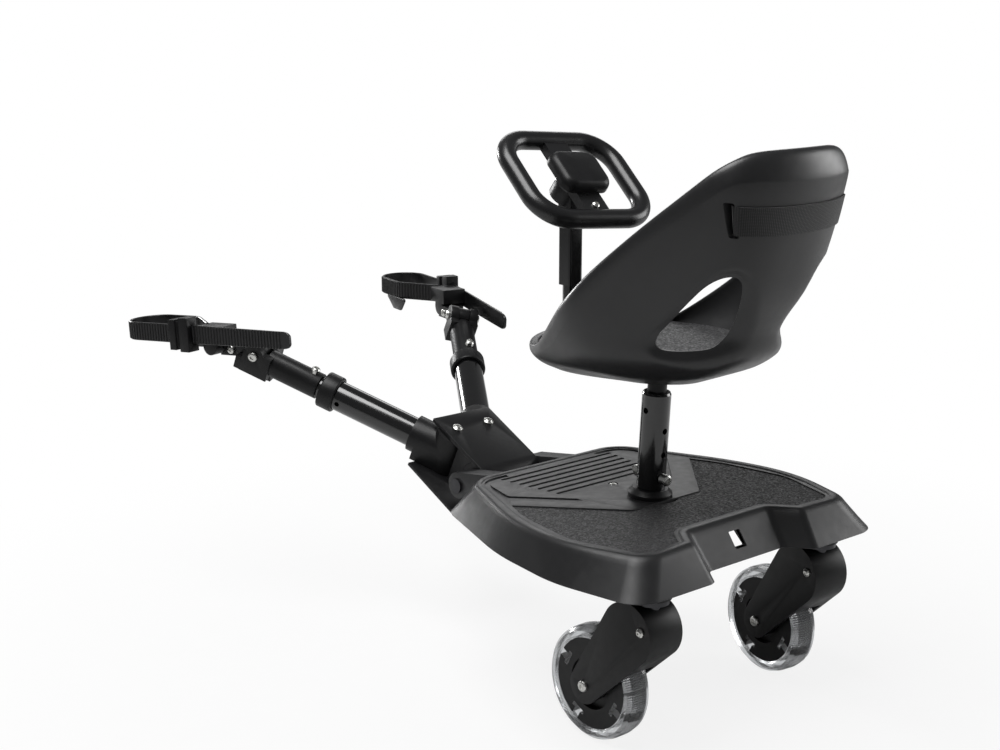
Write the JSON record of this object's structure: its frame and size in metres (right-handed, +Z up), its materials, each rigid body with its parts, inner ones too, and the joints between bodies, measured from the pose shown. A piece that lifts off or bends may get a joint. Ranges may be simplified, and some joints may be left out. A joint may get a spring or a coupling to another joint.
{
  "type": "buggy board with seat",
  "caption": "Ride-on stroller board with a bucket seat on a post, a toy steering wheel, swivel casters and folding telescopic arms that strap to a stroller.",
  "frame": {"origin": "floor level, midway across the board and midway along its overall length", "axes": "+X the rider's right, +Y forward towards the stroller, +Z up"},
  "size_m": [0.393, 0.7756, 0.5073],
  "materials": {
    "satin_plastic": "satin black",
    "gloss_steel_tube": "gloss black",
    "bright_steel": "zinc bright",
    "clear_tyre": "clear polyurethane",
    "strap_rubber": "ribbed matt black",
    "grip_rubber": "fine grit",
    "belt_webbing": "woven webbing"
  },
  "bodies": {
    "deck": {"deck_shell": "satin_plastic", "grip_mat": "grip_rubber", "deck_screw": "bright_steel", "post_base": "satin_plastic", "hinge_pin": "bright_steel", "caster_housing_left": "satin_plastic", "caster_housing_right": "satin_plastic", "caster_screws": "bright_steel"},
    "caster_left": {"kingpin_left": "bright_steel", "caster_fork_left": "satin_plastic", "fork_bolts_left": "bright_steel"},
    "wheel_left": {"wheel_core_left": "satin_plastic", "tyre_left": "clear_tyre", "wheel_bearings_left": "bright_steel"},
    "caster_right": {"kingpin_right": "bright_steel", "caster_fork_right": "satin_plastic", "fork_bolts_right": "bright_steel"},
    "wheel_right": {"wheel_core_right": "satin_plastic", "tyre_right": "clear_tyre", "wheel_bearings_right": "bright_steel"},
    "bracket": {"bracket_cover": "satin_plastic", "bracket_housing": "satin_plastic", "pivot_screws": "bright_steel"},
    "arm_left": {"arm_socket_left": "satin_plastic", "arm_tube_left": "gloss_steel_tube", "arm_collar_left": "satin_plastic"},
    "slide_left": {"inner_tube_left": "gloss_steel_tube", "connector_left": "satin_plastic", "connector_bolt_left": "bright_steel", "clamp_pin_left": "bright_steel"},
    "clamp_left": {"clamp_head_left": "satin_plastic", "clamp_strap_left": "strap_rubber", "clamp_buckle_left": "satin_plastic", "foot_screw_left": "bright_steel"},
    "arm_right": {"arm_socket_right": "satin_plastic", "arm_tube_right": "gloss_steel_tube", "arm_collar_right": "satin_plastic"},
    "slide_right": {"inner_tube_right": "gloss_steel_tube", "connector_right": "satin_plastic", "connector_bolt_right": "bright_steel", "clamp_pin_right": "bright_steel"},
    "clamp_right": {"clamp_head_right": "satin_plastic", "clamp_strap_right": "strap_rubber", "clamp_buckle_right": "satin_plastic", "foot_screw_right": "bright_steel"},
    "seat": {"seat_post_tube": "gloss_steel_tube", "height_bolt": "bright_steel", "seat_mount": "satin_plastic", "seat_shell": "satin_plastic", "seat_pan": "satin_plastic", "seat_mount_screws": "bright_steel", "seat_belt": "belt_webbing", "belt_buckle": "satin_plastic", "steering_stem": "gloss_steel_tube", "steering_sleeve": "satin_plastic", "steering_hub": "satin_plastic"},
    "steering": {"steering_wheel": "satin_plastic", "steering_cover": "satin_plastic", "steering_screw": "bright_steel"}
  },
  "joints": [
    {"name": "swivel_left", "type": "hinge", "parent": "deck", "child": "caster_left", "pos_m": [-0.1076, -0.3295, 0.139], "axis": [0, 0, 1], "continuous": true},
    {"name": "roll_left", "type": "hinge", "parent": "caster_left", "child": "wheel_left", "pos_m": [-0.1076, -0.2689, 0.05], "axis": [1, 0, 0], "continuous": true},
    {"name": "swivel_right", "type": "hinge", "parent": "deck", "child": "caster_right", "pos_m": [0.1076, -0.3295, 0.139], "axis": [0, 0, 1], "continuous": true},
    {"name": "roll_right", "type": "hinge", "parent": "caster_right", "child": "wheel_right", "pos_m": [0.11593, -0.26948, 0.05], "axis": [0.9905, -0.1374, 0], "continuous": true},
    {"name": "fold", "type": "hinge", "parent": "deck", "child": "bracket", "pos_m": [0, -0.0165, 0.1549], "axis": [1, 0, 0], "range_deg": [-40, 60]},
    {"name": "swing_left", "type": "hinge", "parent": "bracket", "child": "arm_left", "pos_m": [-0.0202, 0.0397, 0.17208], "axis": [0, -0.4431, 0.8965], "range_deg": [-15, 20]},
    {"name": "reach_left", "type": "slide", "parent": "arm_left", "child": "slide_left", "axis": [-0.515, 0.7684, 0.3798], "range_m": [0, 0.045]},
    {"name": "tilt_left", "type": "hinge", "parent": "slide_left", "child": "clamp_left", "pos_m": [-0.13454, 0.20653, 0.26401], "axis": [0.8572, 0.4617, 0.2282], "range_deg": [-25, 8]},
    {"name": "swing_right", "type": "hinge", "parent": "bracket", "child": "arm_right", "pos_m": [0.0202, 0.0397, 0.17208], "axis": [0, 0.4431, -0.8965], "range_deg": [-15, 20]},
    {"name": "reach_right", "type": "slide", "parent": "arm_right", "child": "slide_right", "axis": [0.515, 0.7684, 0.3798], "range_m": [0, 0.045]},
    {"name": "tilt_right", "type": "hinge", "parent": "slide_right", "child": "clamp_right", "pos_m": [0.13454, 0.20653, 0.26401], "axis": [0.8572, -0.4617, -0.2282], "range_deg": [-25, 8]},
    {"name": "seat_height", "type": "slide", "parent": "deck", "child": "seat", "axis": [0, -0.06, 0.9982], "range_m": [0, 0.045]},
    {"name": "steer", "type": "hinge", "parent": "seat", "child": "steering", "pos_m": [0, -0.1178, 0.4572], "axis": [0, -0.6211, 0.7837], "range_deg": [-60, 60]}
  ]
}
